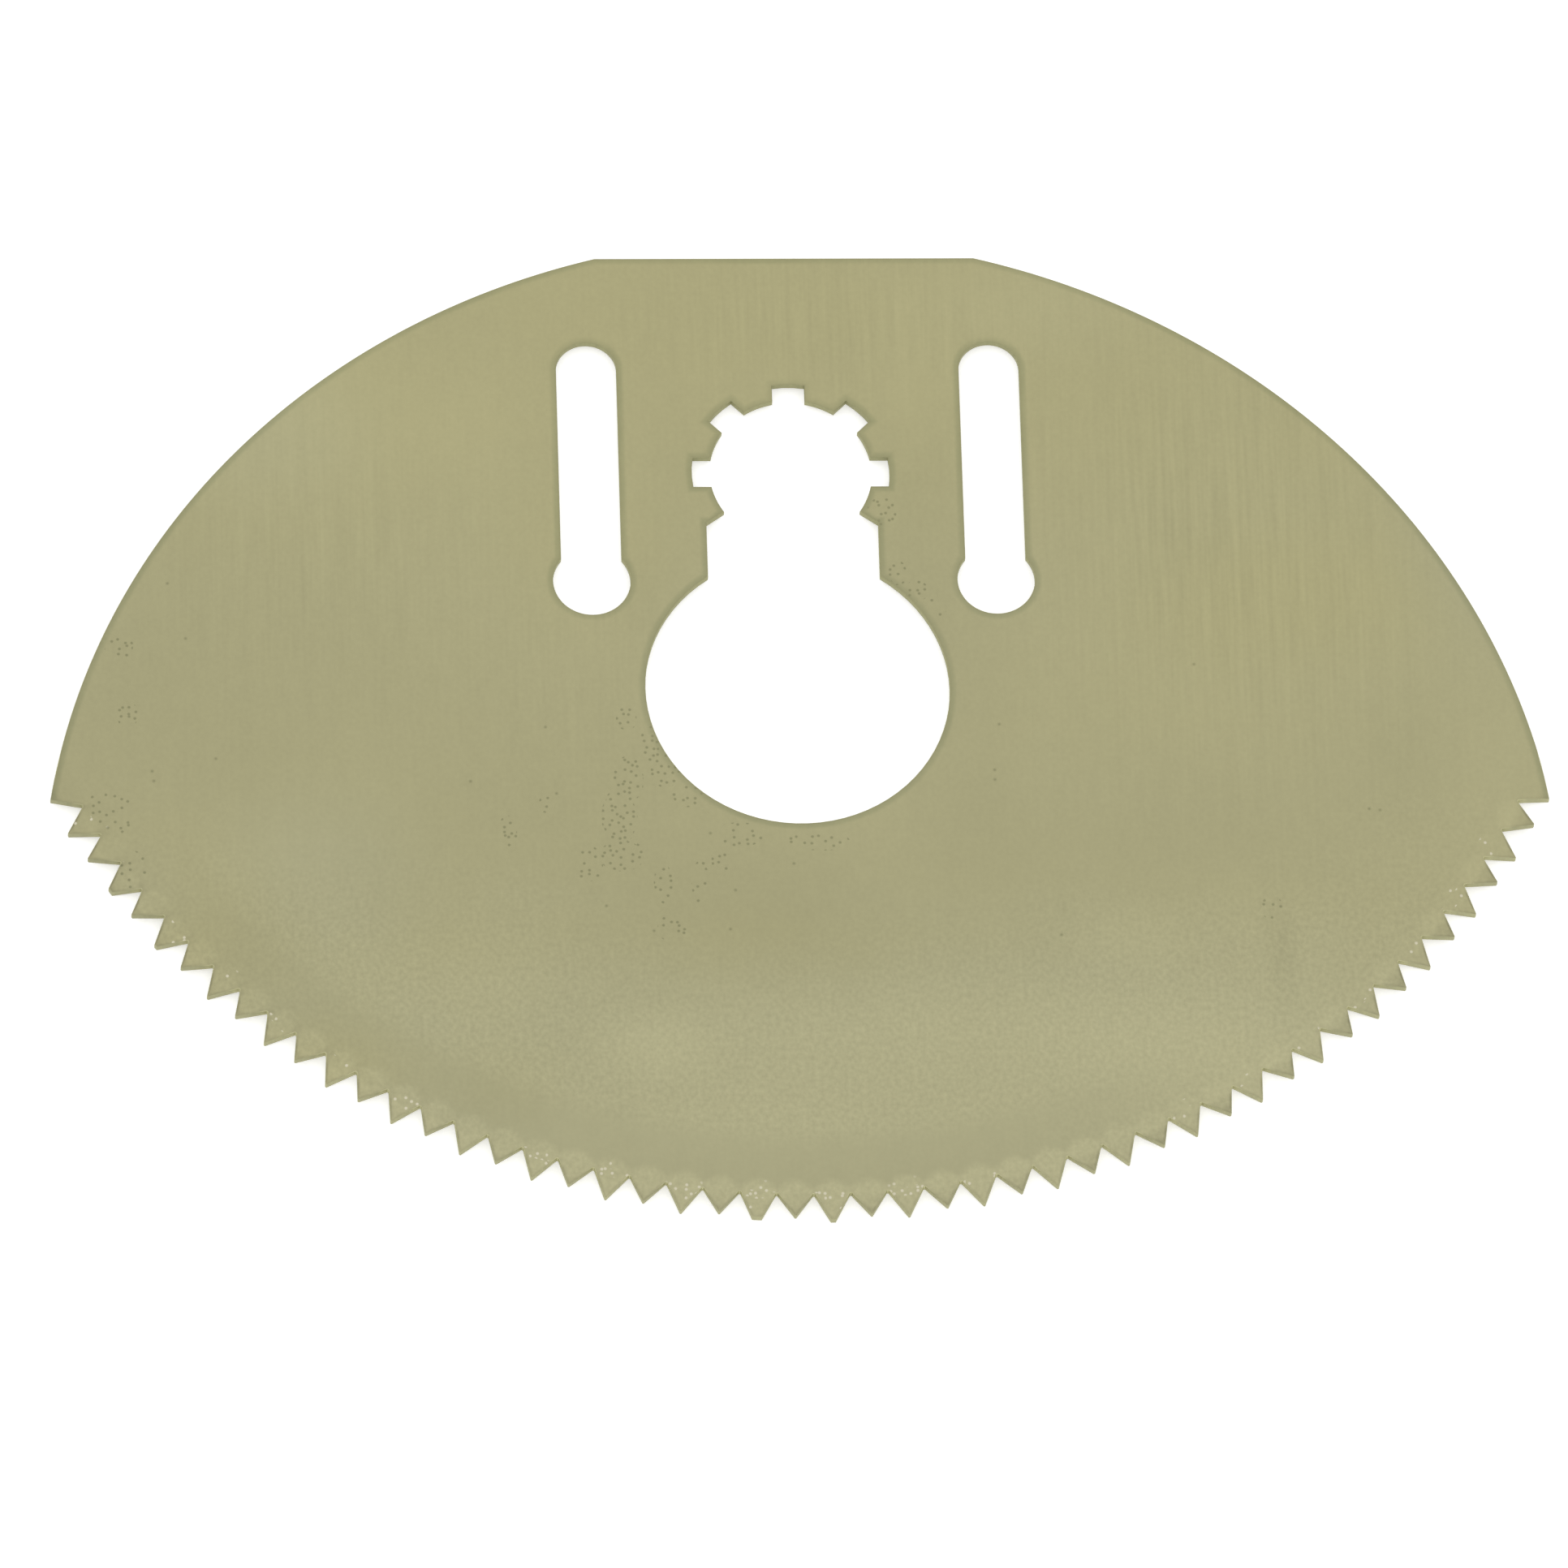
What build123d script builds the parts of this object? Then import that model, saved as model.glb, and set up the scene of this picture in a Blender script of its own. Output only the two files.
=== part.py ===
from build123d import *
import math
import os

# Cast saw blade, a toothed sector of flat spring steel.
# Millimetres. X runs along the blade, +Y points away from the teeth to the flat top,
# and Z is square to the sheet. The origin is the centre of the drive star, half way
# through the sheet, which is also the centre of the toothed arc.

# Sheet
sheet_thickness = 0.5

# Toothed arc
gullet_radius = 52.0
tooth_depth = 1.7
tooth_count = 50
toothed_sweep = 127.5
tooth_set = 0.3
tip_land = 0.1
gullet_land = 0.1

# Crown and flat top
crown_centre_drop = 31.5
flat_top_height = 15.7

# Drive star
star_land_radius = 5.25
star_notch_radius = 6.4
star_notch_width = 2.1
star_notch_count = 8

# Keyhole below the star
neck_width = 11.1
passing_hole_radius = 9.8
passing_hole_drop = 15.7

# Pin slots on both sides of the star
slot_spacing = 26.1
slot_width = 3.9
slot_end_height = 7.55
slot_travel = 15.4
slot_bulb_radius = 2.5

half_sheet = sheet_thickness / 2

# The toothed arc is centred on -Y, and its teeth are counted from the -X end.
arc_middle = -90.0
tip_radius = gullet_radius + tooth_depth
tooth_pitch = toothed_sweep / (tooth_count - 1)
first_tip = arc_middle - toothed_sweep / 2

# The crown's arc passes through the tips of the two end teeth.
end_tip_angle = math.radians(toothed_sweep / 2)
end_tip_x = tip_radius * math.sin(end_tip_angle)
end_tip_drop = tip_radius * math.cos(end_tip_angle)
crown_radius = math.hypot(end_tip_x, crown_centre_drop - end_tip_drop)

# The neck's shoulders slope up, from the level of the outer corners of the two lower slanting
# notches, which stand one step of the star either side of straight down, to the ends of the
# lands above those notches.
notch_step = math.radians(360 / star_notch_count)
notch_half = star_notch_width / 2
neck_half = neck_width / 2


def upper_corner(radius):
    """Upper corner, at this radius, of the slanting notch on the +X side of the neck."""
    reach = math.sqrt(radius**2 - notch_half**2)
    x = notch_half * math.cos(notch_step) + reach * math.sin(notch_step)
    y = notch_half * math.sin(notch_step) - reach * math.cos(notch_step)
    return x, y


land_end_x, land_end_y = upper_corner(star_land_radius)
neck_top = upper_corner(star_notch_radius)[1]


def set_teeth(first, lean):
    """Every second tooth from number first on, bent over by lean at its tip."""
    count = (tooth_count - first + 1) // 2
    start = first_tip + first * tooth_pitch
    sweep = 2 * tooth_pitch * (count - 1)
    root_half = gullet_radius * math.tan(math.radians(tooth_pitch / 2)) - gullet_land / 2
    tip_half = tip_land / 2
    inside = gullet_radius - tooth_depth
    # An end tooth has no outer flank: its stock runs on past the crown, which trims it
    shoulder = 2 * tip_radius * math.sin(math.radians(tooth_pitch))
    with BuildPart() as teeth:
        # A conical ring whose inner edge is flush with both faces of the sheet
        with BuildSketch(Plane.XZ):
            with BuildLine():
                Polyline(
                    (gullet_radius, -half_sheet),
                    (tip_radius, lean - half_sheet),
                    (tip_radius, lean + half_sheet),
                    (gullet_radius, half_sheet),
                    close=True,
                )
            make_face()
        revolve(axis=Axis.Z)
        # The tapered plan of one tooth, repeated round the arc, cuts the teeth from the ring
        with BuildSketch():
            with PolarLocations(0, count, start, sweep, endpoint=True):
                Polygon(
                    (inside, -root_half),
                    (gullet_radius, -root_half),
                    (tip_radius, -tip_half),
                    (tip_radius, tip_half),
                    (gullet_radius, root_half),
                    (inside, root_half),
                    align=None,
                )
            for number, outer_side in ((0, -1), (tooth_count - 1, 1)):
                if number % 2 == first:
                    with PolarLocations(0, 1, first_tip + number * tooth_pitch):
                        Polygon(
                            (inside, 0),
                            (tip_radius, 0),
                            (tip_radius, outer_side * shoulder),
                            (inside, outer_side * shoulder),
                            align=None,
                        )
        extrude(amount=half_sheet + abs(lean), both=True, mode=Mode.INTERSECT)
    return teeth.part


teeth_up = set_teeth(first=0, lean=tooth_set)
teeth_down = set_teeth(first=1, lean=-tooth_set)

with BuildPart() as blade:
    # The sheet out to the gullet circle, with the two rows of set teeth round it
    Cylinder(gullet_radius, sheet_thickness)
    add(teeth_up)
    add(teeth_down)

    # Crown arc from one end tooth to the other, with the flat top across it
    with BuildSketch() as crown:
        with Locations((0, -crown_centre_drop)):
            Circle(crown_radius)
        with Locations((0, flat_top_height)):
            Rectangle(2 * crown_radius, crown_radius, align=(Align.CENTER, Align.MIN), mode=Mode.SUBTRACT)
    extrude(crown.sketch, amount=half_sheet + tooth_set, both=True, mode=Mode.INTERSECT)

    # Keyhole, with the drive star, the neck and the passing hole in one opening
    with BuildSketch() as keyhole:
        with PolarLocations(0, star_notch_count, arc_middle):
            Rectangle(2 * star_notch_radius, star_notch_width, align=(Align.MIN, Align.CENTER))
        Circle(star_notch_radius, mode=Mode.INTERSECT)
        Circle(star_land_radius)
        Polygon(
            (-neck_half, -passing_hole_drop),
            (neck_half, -passing_hole_drop),
            (neck_half, neck_top),
            (land_end_x, land_end_y),
            (-land_end_x, land_end_y),
            (-neck_half, neck_top),
            align=None,
        )
        with Locations((0, -passing_hole_drop)):
            Circle(passing_hole_radius)
    extrude(keyhole.sketch, amount=half_sheet, both=True, mode=Mode.SUBTRACT)

    # Pin slots, each with a round bulb at its end towards the teeth
    with BuildSketch() as slots:
        with GridLocations(slot_spacing, 0, 2, 1):
            with Locations((0, slot_end_height - slot_travel / 2)):
                SlotCenterToCenter(slot_travel, slot_width, rotation=90)
            with Locations((0, slot_end_height - slot_travel)):
                Circle(slot_bulb_radius)
    extrude(slots.sketch, amount=half_sheet, both=True, mode=Mode.SUBTRACT)

blade.part.label = "blade"

os.makedirs("parts", exist_ok=True)
export_step(blade.part, "parts/blade.step")

print("tooth pitch", round(tooth_pitch, 3), "degrees, crown radius", round(crown_radius, 2), "mm")
print("size", blade.part.bounding_box().size, "volume", round(blade.part.volume, 1), "mm3")
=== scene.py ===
"""Cast saw blade: a toothed sector of flat spring steel, dressed for its picture.

All lengths are metres in the blade's own frame. X runs along the blade, +Y points away from
the teeth to the flat top, Z is square to the sheet, and the origin is the centre of the drive
star, half way through the sheet.
"""

import math
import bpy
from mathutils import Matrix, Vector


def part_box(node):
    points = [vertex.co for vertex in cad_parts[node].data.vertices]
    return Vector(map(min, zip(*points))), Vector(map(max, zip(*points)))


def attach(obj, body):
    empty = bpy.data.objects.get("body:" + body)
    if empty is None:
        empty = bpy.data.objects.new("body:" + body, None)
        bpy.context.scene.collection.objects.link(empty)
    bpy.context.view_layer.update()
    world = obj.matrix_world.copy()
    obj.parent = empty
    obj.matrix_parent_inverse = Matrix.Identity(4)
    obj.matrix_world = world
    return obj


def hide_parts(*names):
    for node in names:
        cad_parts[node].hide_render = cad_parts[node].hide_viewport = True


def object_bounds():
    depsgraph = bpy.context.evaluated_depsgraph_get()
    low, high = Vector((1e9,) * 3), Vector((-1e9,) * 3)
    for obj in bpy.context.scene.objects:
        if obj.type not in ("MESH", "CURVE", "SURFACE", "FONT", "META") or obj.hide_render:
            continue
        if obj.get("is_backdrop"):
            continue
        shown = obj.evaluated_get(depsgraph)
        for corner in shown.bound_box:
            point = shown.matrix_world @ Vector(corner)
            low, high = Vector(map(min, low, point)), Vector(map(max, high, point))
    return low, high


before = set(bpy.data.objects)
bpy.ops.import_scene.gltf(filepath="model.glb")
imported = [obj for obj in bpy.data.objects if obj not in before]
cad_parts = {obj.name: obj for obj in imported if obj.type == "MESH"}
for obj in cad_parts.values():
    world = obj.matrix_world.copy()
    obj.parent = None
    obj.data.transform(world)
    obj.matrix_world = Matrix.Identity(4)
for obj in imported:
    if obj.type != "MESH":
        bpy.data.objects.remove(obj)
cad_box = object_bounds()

from types import SimpleNamespace

import bpy
import numpy as np
from bpy.props import FloatProperty, FloatVectorProperty, IntProperty, PointerProperty
from bpy.types import Operator, Panel, PropertyGroup
from mathutils import Matrix, Quaternion, Vector
from mathutils.geometry import delaunay_2d_cdt

bl_info = {
    "name": "Cast Saw Blade",
    "version": (1, 0, 0),
    "blender": (4, 5, 0),
    "location": "View3D > Sidebar > Saw Blade",
    "description": "A cast saw blade of sheet steel with set teeth, and its photographic stage",
    "category": "Add Mesh",
}

MM = 0.001
BODY = "root"
NODE = "blade"

# Mesh steps: chords of arcs and straight runs, segments of a tooth's flank and of an arris
CHORD = 0.8 * MM
CHORD_TURN = math.radians(5)
FLANK_SEGMENTS = 5
ARRIS_SEGMENTS = 3

# Spacing of the points that fill the faces: over the flat sheet, and in the band that bends
SHEET_SPACING = 2.5 * MM
BAND_SPACING = 0.3 * MM
BAND_POINTS_PER_TOOTH = 9
FILL_MARGIN = 0.12 * MM

# Teeth that are worn blunt: number from the first tip, width of the land, and height lost
WORN_TIPS = (
    (3, 0.4 * MM, 0.1 * MM),
    (5, 0.25 * MM, 0.0),
    (23, 0.62 * MM, 0.08 * MM),
    (25, 0.32 * MM, 0.0),
)

# How far the finished object's box may be from the CAD box
SIZE_TOLERANCE = 0.2 * MM

# A corner in plan that turns by more than this is a crease down the sheared edge
CREASE_TURN = math.radians(20)
# Share of the room at a narrow tip that its rounded edge may take
TIP_ROOM = 0.8

# Points closer than this are one, and areas may differ by this much, in mm and square mm
MERGE_DISTANCE = 1e-6
AREA_TOLERANCE = 1e-3
# Points are tested against the outlines in this many lots
LOTS = 16
# Stands in for nothing in a divisor
TINY = 1e-9

# Places of the lamps and sides of their squares, in metres
KEY_PLACE = (-0.45, 0.35, 0.75)
KEY_SIDE = 0.5
FILL_PLACE = (0.55, -0.5, 0.6)
FILL_SIDE = 0.4

# The point in the middle of the picture, on the middle of the sheet
AIM = Vector((-1.063 * MM, -22.545 * MM, 0.0))


# Settings


def length(name, description, default):
    """A length in metres, written in millimetres."""
    return FloatProperty(
        name=name, description=description, default=default * MM, min=0.0, precision=5, unit="LENGTH"
    )


def angle(name, description, default):
    """An angle, written in degrees."""
    return FloatProperty(
        name=name, description=description, default=math.radians(default), precision=3, subtype="ANGLE"
    )


def share(name, description, default):
    """A plain number."""
    return FloatProperty(name=name, description=description, default=default, precision=3)


def colour(name, description, default):
    """A linear colour."""
    return FloatVectorProperty(
        name=name, description=description, default=default, size=3, min=0.0, max=1.0, subtype="COLOR"
    )


class BladeSizes(PropertyGroup):
    """Driving sizes of the blade"""

    thickness: length("Sheet Thickness", "Thickness of the steel sheet", 0.5)
    edge_round: length("Edge Round", "Radius of the worn arris along every cut edge", 0.05)
    # The strip of this width inside every edge carries a dark line of painted shade
    rim_width: length("Rim Width", "Width of the dark line that the shear leaves inside every edge", 0.2)

    gullet_radius: length("Gullet Radius", "Radius of the arc through the gullets", 52.0)
    tooth_depth: length("Tooth Depth", "Depth of a tooth from gullet to tip", 1.7)
    tooth_count: IntProperty(name="Tooth Count", description="Teeth along the arc", default=50, min=3)
    toothed_sweep: angle("Toothed Sweep", "Angle from the first tip to the last", 127.5)
    tooth_set: length("Tooth Set", "How far a tip is bent out of the sheet", 0.3)
    tip_land: length("Tip Land", "Width of a tooth's blunt tip", 0.1)
    gullet_land: length("Gullet Land", "Width of the bottom of a gullet", 0.1)
    bend_reach: length("Bend Reach", "How far behind the gullets the bend of a tooth starts", 0.35)

    crown_centre_drop: length("Crown Centre Drop", "Crown's centre below the star's centre", 31.5)
    flat_top_height: length("Flat Top Height", "Flat top above the star's centre", 15.7)

    star_land_radius: length("Star Land Radius", "Radius of the lands between the notches", 5.25)
    star_notch_radius: length("Star Notch Radius", "Radius of the notches' outer ends", 6.4)
    star_notch_width: length("Star Notch Width", "Width of a notch", 2.1)
    star_notch_count: IntProperty(name="Star Notch Count", description="The star's notches", default=8, min=5)

    neck_width: length("Neck Width", "Width of the neck below the star", 11.1)
    hole_radius: length("Passing Hole Radius", "Radius of the passing hole", 9.8)
    hole_drop: length("Passing Hole Drop", "Passing hole's centre below the star's centre", 15.7)

    slot_spacing: length("Slot Spacing", "Distance between the two pin slots", 26.1)
    slot_width: length("Slot Width", "Width of a pin slot", 3.9)
    slot_end_height: length("Slot End Height", "Centre of a slot's upper end above the star's centre", 7.55)
    slot_travel: length("Slot Travel", "Distance between the centres of a slot's two ends", 15.4)
    slot_bulb_radius: length("Slot Bulb Radius", "Radius of the bulb at a slot's lower end", 2.5)


class BladeFinish(PropertyGroup):
    """Colours and wear of the steel, and the painted light and shade on it"""

    warm_steel: colour("Warm Steel", "Rolled face over the crown", (0.4095, 0.383, 0.210))
    grey_steel: colour("Grey Steel", "Rubbed face near the teeth", (0.4095, 0.391, 0.2355))
    # Edge Steel is darker partly as painted shade of the sheared walls
    edge_steel: colour("Edge Steel", "Sheared edges", (0.360, 0.352, 0.197))
    ground_steel: colour("Ground Steel", "Ground flanks of the teeth", (0.400, 0.389, 0.234))
    # Glint Steel is the colour of painted highlights: pale glints on the bends of the teeth
    glint_steel: colour("Glint Steel", "Rubbed spots on the bends of the teeth", (0.66, 0.62, 0.48))
    face_roughness: share("Face Roughness", "Roughness of the rolled face", 0.42)
    edge_roughness: share("Edge Roughness", "Roughness of the sheared edges", 0.6)
    # Rim Shade darkens the colours for the painted shade inside the edges, and gives the pits their darker
    # colour
    rim_shade_and_pit_colour: colour("Rim Shade", "Share of each colour left on rims and in pits", (0.84, 0.868, 0.856))
    streak_strength: share("Streak Strength", "Depth of the rolling streaks' tone", 0.078)
    mottle_strength: share("Mottle Strength", "Depth of the rubbed mottle's tone", 0.13)
    cloud_strength: share("Cloud Strength", "Depth of the broad clouds' tone", 0.018)
    grain_strength: share("Grain Strength", "Depth of the soft grain's tone", 0.022)
    arc_strength: share("Arc Strength", "Depth of the dark arc behind the teeth", 0.045)
    pit_strength: share("Pit Strength", "How much darker a pit is, before its shade", 0.05)
    # Rim Strength is the depth of the dark line of painted shade inside every edge
    rim_strength: share("Rim Strength", "Depth of the dark line inside every edge", 0.35)
    tooth_lift: share("Tooth Lift", "How much lighter the set teeth are at the middle of the arc", 0.06)
    # Gullet Lift is painted light that lifts the shade of the gullets
    painted_gullet_light: share("Gullet Lift", "How much lighter the gullets are than the teeth's flanks", 0.25)


class StageSetup(PropertyGroup):
    """Floor, light and camera"""

    floor_size: length("Floor Size", "Side of the square floor", 8000.0)
    sky_level: share("Sky Level", "Light of the white surroundings on matt surfaces", 0.9)
    floor_glow: share("Floor Glow", "Light of the floor itself where it is seen", 0.45)
    key_power: FloatProperty(name="Key Power", description="Large lamp's power", default=0.3, unit="POWER")
    fill_power: FloatProperty(name="Fill Power", description="Small lamp's power", default=0.3, unit="POWER")

    azimuth: angle("Azimuth", "Camera's turn round the blade, from straight in front of the teeth", -6.874)
    elevation: angle("Elevation", "Camera's height above the sheet", 62.553)
    roll: angle("Roll", "Camera's turn about its own view, anticlockwise", 5.910)
    distance: length("Distance", "Camera's distance from the point that it looks at", 1562.43)
    sensor: FloatProperty(name="Sensor", description="Width of the sensor", default=36.0, unit="CAMERA")
    lens: FloatProperty(name="Lens", description="Focal length", default=559.0, unit="CAMERA")


# Outlines in plan, as arrays of points with the steel on the left of the way round


def polar(radius, turn):
    """Points at a radius and an angle round the origin: radius times (cosine, sine)."""
    return np.stack([radius * np.cos(turn), radius * np.sin(turn)], axis=-1)


def arc(centre, radius, start, end):
    """Points along an arc: the centre plus the polar points of evenly spaced angles."""
    turn = abs(end - start)
    count = max(math.ceil(turn / CHORD_TURN), math.ceil(turn * radius / CHORD))
    return np.asarray(centre) + polar(radius, np.linspace(start, end, count + 1))


def between(start, end):
    """Evenly spaced points from start to end, without the two ends themselves."""
    start, end = np.asarray(start), np.asarray(end)
    count = math.ceil(np.linalg.norm(end - start) / CHORD)
    return start + (end - start) * np.linspace(0, 1, count + 1)[1:-1, None]


def tooth_places(sizes):
    """Angle of the first tip round the origin, and the angle from one tooth to the next."""
    first = -math.pi / 2 - sizes.toothed_sweep / 2
    return first, sizes.toothed_sweep / (sizes.tooth_count - 1)


def toothed_edge(sizes):
    """Points from the middle of the first tip to the middle of the last.

    One tooth is a row of pairs (out, along): up one flank, over the tip land, down the other
    flank. Out is measured from the origin along the tooth's own angle, and along square to
    it, so a point is out times one unit vector plus along times the other. The outer halves
    of the two end teeth are left off, because the crown meets their tips.
    """
    first, pitch = tooth_places(sizes)
    land = np.full((sizes.tooth_count, 1), sizes.tip_land)
    depth = np.full((sizes.tooth_count, 1), sizes.tooth_depth)
    for number, width, loss in WORN_TIPS:
        land[number] = width
        depth[number] -= loss
    root_half = sizes.gullet_radius * math.tan(pitch / 2) - sizes.gullet_land / 2
    rise = np.linspace(0, 1, FLANK_SEGMENTS + 1)
    out = sizes.gullet_radius + depth * rise
    half = root_half + (land / 2 - root_half) * rise
    out = np.concatenate([out, out[:, ::-1]], axis=1)[..., None]
    along = np.concatenate([-half, half[:, ::-1]], axis=1)[..., None]

    turn = first + pitch * np.arange(sizes.tooth_count)[:, None]
    points = (out * polar(1.0, turn) + along * polar(1.0, turn + math.pi / 2)).reshape(-1, 2)
    tips = polar(sizes.gullet_radius + sizes.tooth_depth, turn[[0, -1], 0])
    return np.concatenate([tips[:1], points[len(rise) : -len(rise)], tips[1:]])


def blade_outline(sizes):
    """Toothed edge, crown, flat top and crown again, anticlockwise.

    The crown is an arc through the tips of the two end teeth, centred below the star.
    """
    edge = toothed_edge(sizes)
    centre = (0.0, -sizes.crown_centre_drop)
    tip = edge[-1] - centre
    radius = float(np.linalg.norm(tip))
    top = math.asin((sizes.flat_top_height + sizes.crown_centre_drop) / radius)
    right = arc(centre, radius, math.atan2(tip[1], tip[0]), top)
    left = right[::-1] * (-1, 1)
    return np.concatenate([edge, right[1:], between(right[-1], left[0]), left[:-1]])


def keyhole_outline(sizes):
    """Passing hole, neck and drive star as one opening, clockwise.

    Anticlockwise it runs round the passing hole from one side of the neck to the other, up
    the neck, up its sloping shoulder, then over each land and round each notch of the star
    to the other shoulder. A notch's sides are parallel, so its corners stand at the arcsine
    of half its width over the radius. The whole row is then turned round.
    """
    neck_half = sizes.neck_width / 2
    opening = math.acos(neck_half / sizes.hole_radius)
    hole = arc((0.0, -sizes.hole_drop), sizes.hole_radius, math.pi - opening, 2 * math.pi + opening)

    step = 2 * math.pi / sizes.star_notch_count
    land_corner = math.asin(sizes.star_notch_width / 2 / sizes.star_land_radius)
    notch_corner = math.asin(sizes.star_notch_width / 2 / sizes.star_notch_radius)
    land = np.linspace(land_corner - step, -land_corner, math.ceil(step / CHORD_TURN))
    notch = np.linspace(-notch_corner, notch_corner, math.ceil(2 * notch_corner / CHORD_TURN))
    radius = np.repeat([sizes.star_land_radius, sizes.star_notch_radius], [len(land), len(notch)])
    place = np.concatenate([land, notch])
    # Notch 0 points straight down the neck, so the whole notches run from 2 to the last but one
    turn = -math.pi / 2 + step * np.arange(2, sizes.star_notch_count - 1)[:, None]
    star = polar(radius, turn + place).reshape(-1, 2)
    last_land = star[: len(land)][::-1] * (-1, 1)

    # The shoulder starts level with the outer corner of the slanting notch beside the neck
    neck_top = sizes.star_notch_radius * math.sin(-math.pi / 2 + step + notch_corner)
    shoulder = (neck_half, neck_top)
    right = np.concatenate([between(hole[-1], shoulder), [shoulder], between(shoulder, star[0])])
    left = right[::-1] * (-1, 1)
    return np.concatenate([hole, right, star, last_land, left])[::-1]


def slot_outline(sizes, side):
    """One pin slot, clockwise: a round upper end, straight sides and a bulb at the lower end."""
    middle = side * sizes.slot_spacing / 2
    half = sizes.slot_width / 2
    opening = math.acos(half / sizes.slot_bulb_radius)
    bulb_centre = (middle, sizes.slot_end_height - sizes.slot_travel)
    bulb = arc(bulb_centre, sizes.slot_bulb_radius, math.pi - opening, 2 * math.pi + opening)
    end = arc((middle, sizes.slot_end_height), half, 0.0, math.pi)
    return np.concatenate([bulb, between(bulb[-1], end[0]), end, between(end[-1], bulb[0])])[::-1]


# The sheet's mesh


def corner_shapes(loop):
    """Mitre, tangent of half the turn, and room at each corner of a closed loop.

    The mitre moves a corner so that both its edges shift outwards by one: the sum of the two
    edges' normals over one plus their dot product. An edge shrinks, as it moves inwards, by
    the tangents of half the turns at its ends, so the room at a corner is the least length
    over tangents of its two edges.
    """
    edge = np.roll(loop, -1, axis=0) - loop
    span = np.linalg.norm(edge, axis=1)
    after = np.stack([edge[:, 1], -edge[:, 0]], axis=-1) / span[:, None]
    before = np.roll(after, 1, axis=0)
    dot = (before * after).sum(axis=1)
    half_turn = (before[:, 0] * after[:, 1] - before[:, 1] * after[:, 0]) / (1 + dot)
    shrink = half_turn + np.roll(half_turn, -1)
    room = span / np.maximum(shrink, TINY)
    return (before + after) / (1 + dot)[:, None], half_turn, np.minimum(room, np.roll(room, 1))


def edge_profile(sizes):
    """Section of a cut edge from the upper face round to the lower, as four equal rows.

    Each step has a share of the rim's width and a share of the arris's width, by which it
    lies inside the outline, its height, and how far the painted shade of the dark rim line
    shows on it. An arris is a quarter circle: one minus the cosine across, one minus the sine down.
    """
    quarter = np.linspace(math.pi / 2, 0, ARRIS_SEGMENTS + 1)
    rim = np.concatenate([[1.0], np.zeros(ARRIS_SEGMENTS + 1)])
    arris = np.concatenate([[0.0], 1 - np.cos(quarter)])
    drop = np.concatenate([[0.0], 1 - np.sin(quarter)])
    height = sizes.thickness / 2 - sizes.edge_round * drop
    # How far the painted shade of the dark rim line shows on each row
    dark = 1 - rim
    return (
        np.concatenate([rim, rim[::-1]]),
        np.concatenate([arris, arris[::-1]]),
        np.concatenate([height, -height[::-1]]),
        np.concatenate([dark, dark[::-1]]),
    )


def inside_by(points, starts, ends, margin):
    """Which points lie within the loops of edges and at least margin from every edge.

    A point is inside where a line from it to the right crosses an odd number of edges.
    """
    keep = []
    for some in np.array_split(points, LOTS):
        px, py = some[:, :1], some[:, 1:]
        (ax, ay), (bx, by) = starts.T, ends.T
        rise = np.where(by == ay, TINY, by - ay)
        crossed = ((ay > py) != (by > py)) & (px < ax + (py - ay) * (bx - ax) / rise)
        square = (bx - ax) ** 2 + (by - ay) ** 2
        along = np.clip(((px - ax) * (bx - ax) + (py - ay) * (by - ay)) / square, 0, 1)
        gap = np.hypot(px - ax - along * (bx - ax), py - ay - along * (by - ay))
        keep.append((crossed.sum(axis=1) % 2 == 1) & (gap.min(axis=1) > margin))
    return np.concatenate(keep)


def fill_points(sizes, starts, ends):
    """Points that fill a face: a square lattice over the flat sheet, and a finer one of
    radius and angle over the toothed band, which bends."""
    low, high = starts.min(axis=0), starts.max(axis=0)
    x = np.arange(low[0], high[0], SHEET_SPACING)
    y = np.arange(low[1], high[1], SHEET_SPACING)
    lattice = np.stack(np.meshgrid(x, y), axis=-1).reshape(-1, 2)

    first, pitch = tooth_places(sizes)
    band_start = sizes.gullet_radius - 4 * sizes.bend_reach
    lattice = lattice[np.linalg.norm(lattice, axis=1) < band_start - SHEET_SPACING / 3]
    radius = np.arange(band_start, sizes.gullet_radius + sizes.tooth_depth, BAND_SPACING)
    turn = first + pitch * np.arange(-2, sizes.tooth_count + 1, 1 / BAND_POINTS_PER_TOOTH)
    band = polar(radius[:, None], turn[None, :]).reshape(-1, 2)

    points = np.concatenate([lattice, band])
    return points[inside_by(points, starts, ends, FILL_MARGIN)]


def triangulate(ring, following, inner):
    """Triangles over the loops of ring points with the inner points among them.

    The result counts the ring first and the inner points after it. The points are joined
    across the openings too, and a triangle is kept where its middle lies within the loops.
    """
    points = np.concatenate([ring, inner]) / MM
    edges = np.stack([np.arange(len(ring)), following], axis=-1)
    places = [Vector(point) for point in points.tolist()]
    whole_hull = 0
    made = delaunay_2d_cdt(places, edges.tolist(), [], whole_hull, MERGE_DISTANCE, True)
    if len(made[0]) != len(points):
        raise RuntimeError("the sheet's outline crosses itself")
    number = np.array([ids[0] for ids in made[3]])
    triangles = number[np.array(made[2])]
    middles = points[triangles].mean(axis=1)
    triangles = triangles[inside_by(middles, points[: len(ring)], points[following], 0.0)]

    a, b, c = points[triangles].transpose(1, 0, 2)
    twice_area = (b[:, 0] - a[:, 0]) * (c[:, 1] - a[:, 1]) - (b[:, 1] - a[:, 1]) * (c[:, 0] - a[:, 0])
    start, end = points[: len(ring)], points[following]
    twice_loops = (start[:, 0] * end[:, 1] - end[:, 0] * start[:, 1]).sum()
    if abs(np.abs(twice_area).sum() - twice_loops) > 2 * AREA_TOLERANCE:
        raise RuntimeError("the triangles don't fill the sheet's outline")
    triangles[twice_area < 0] = triangles[twice_area < 0][:, ::-1]
    return triangles


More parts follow.
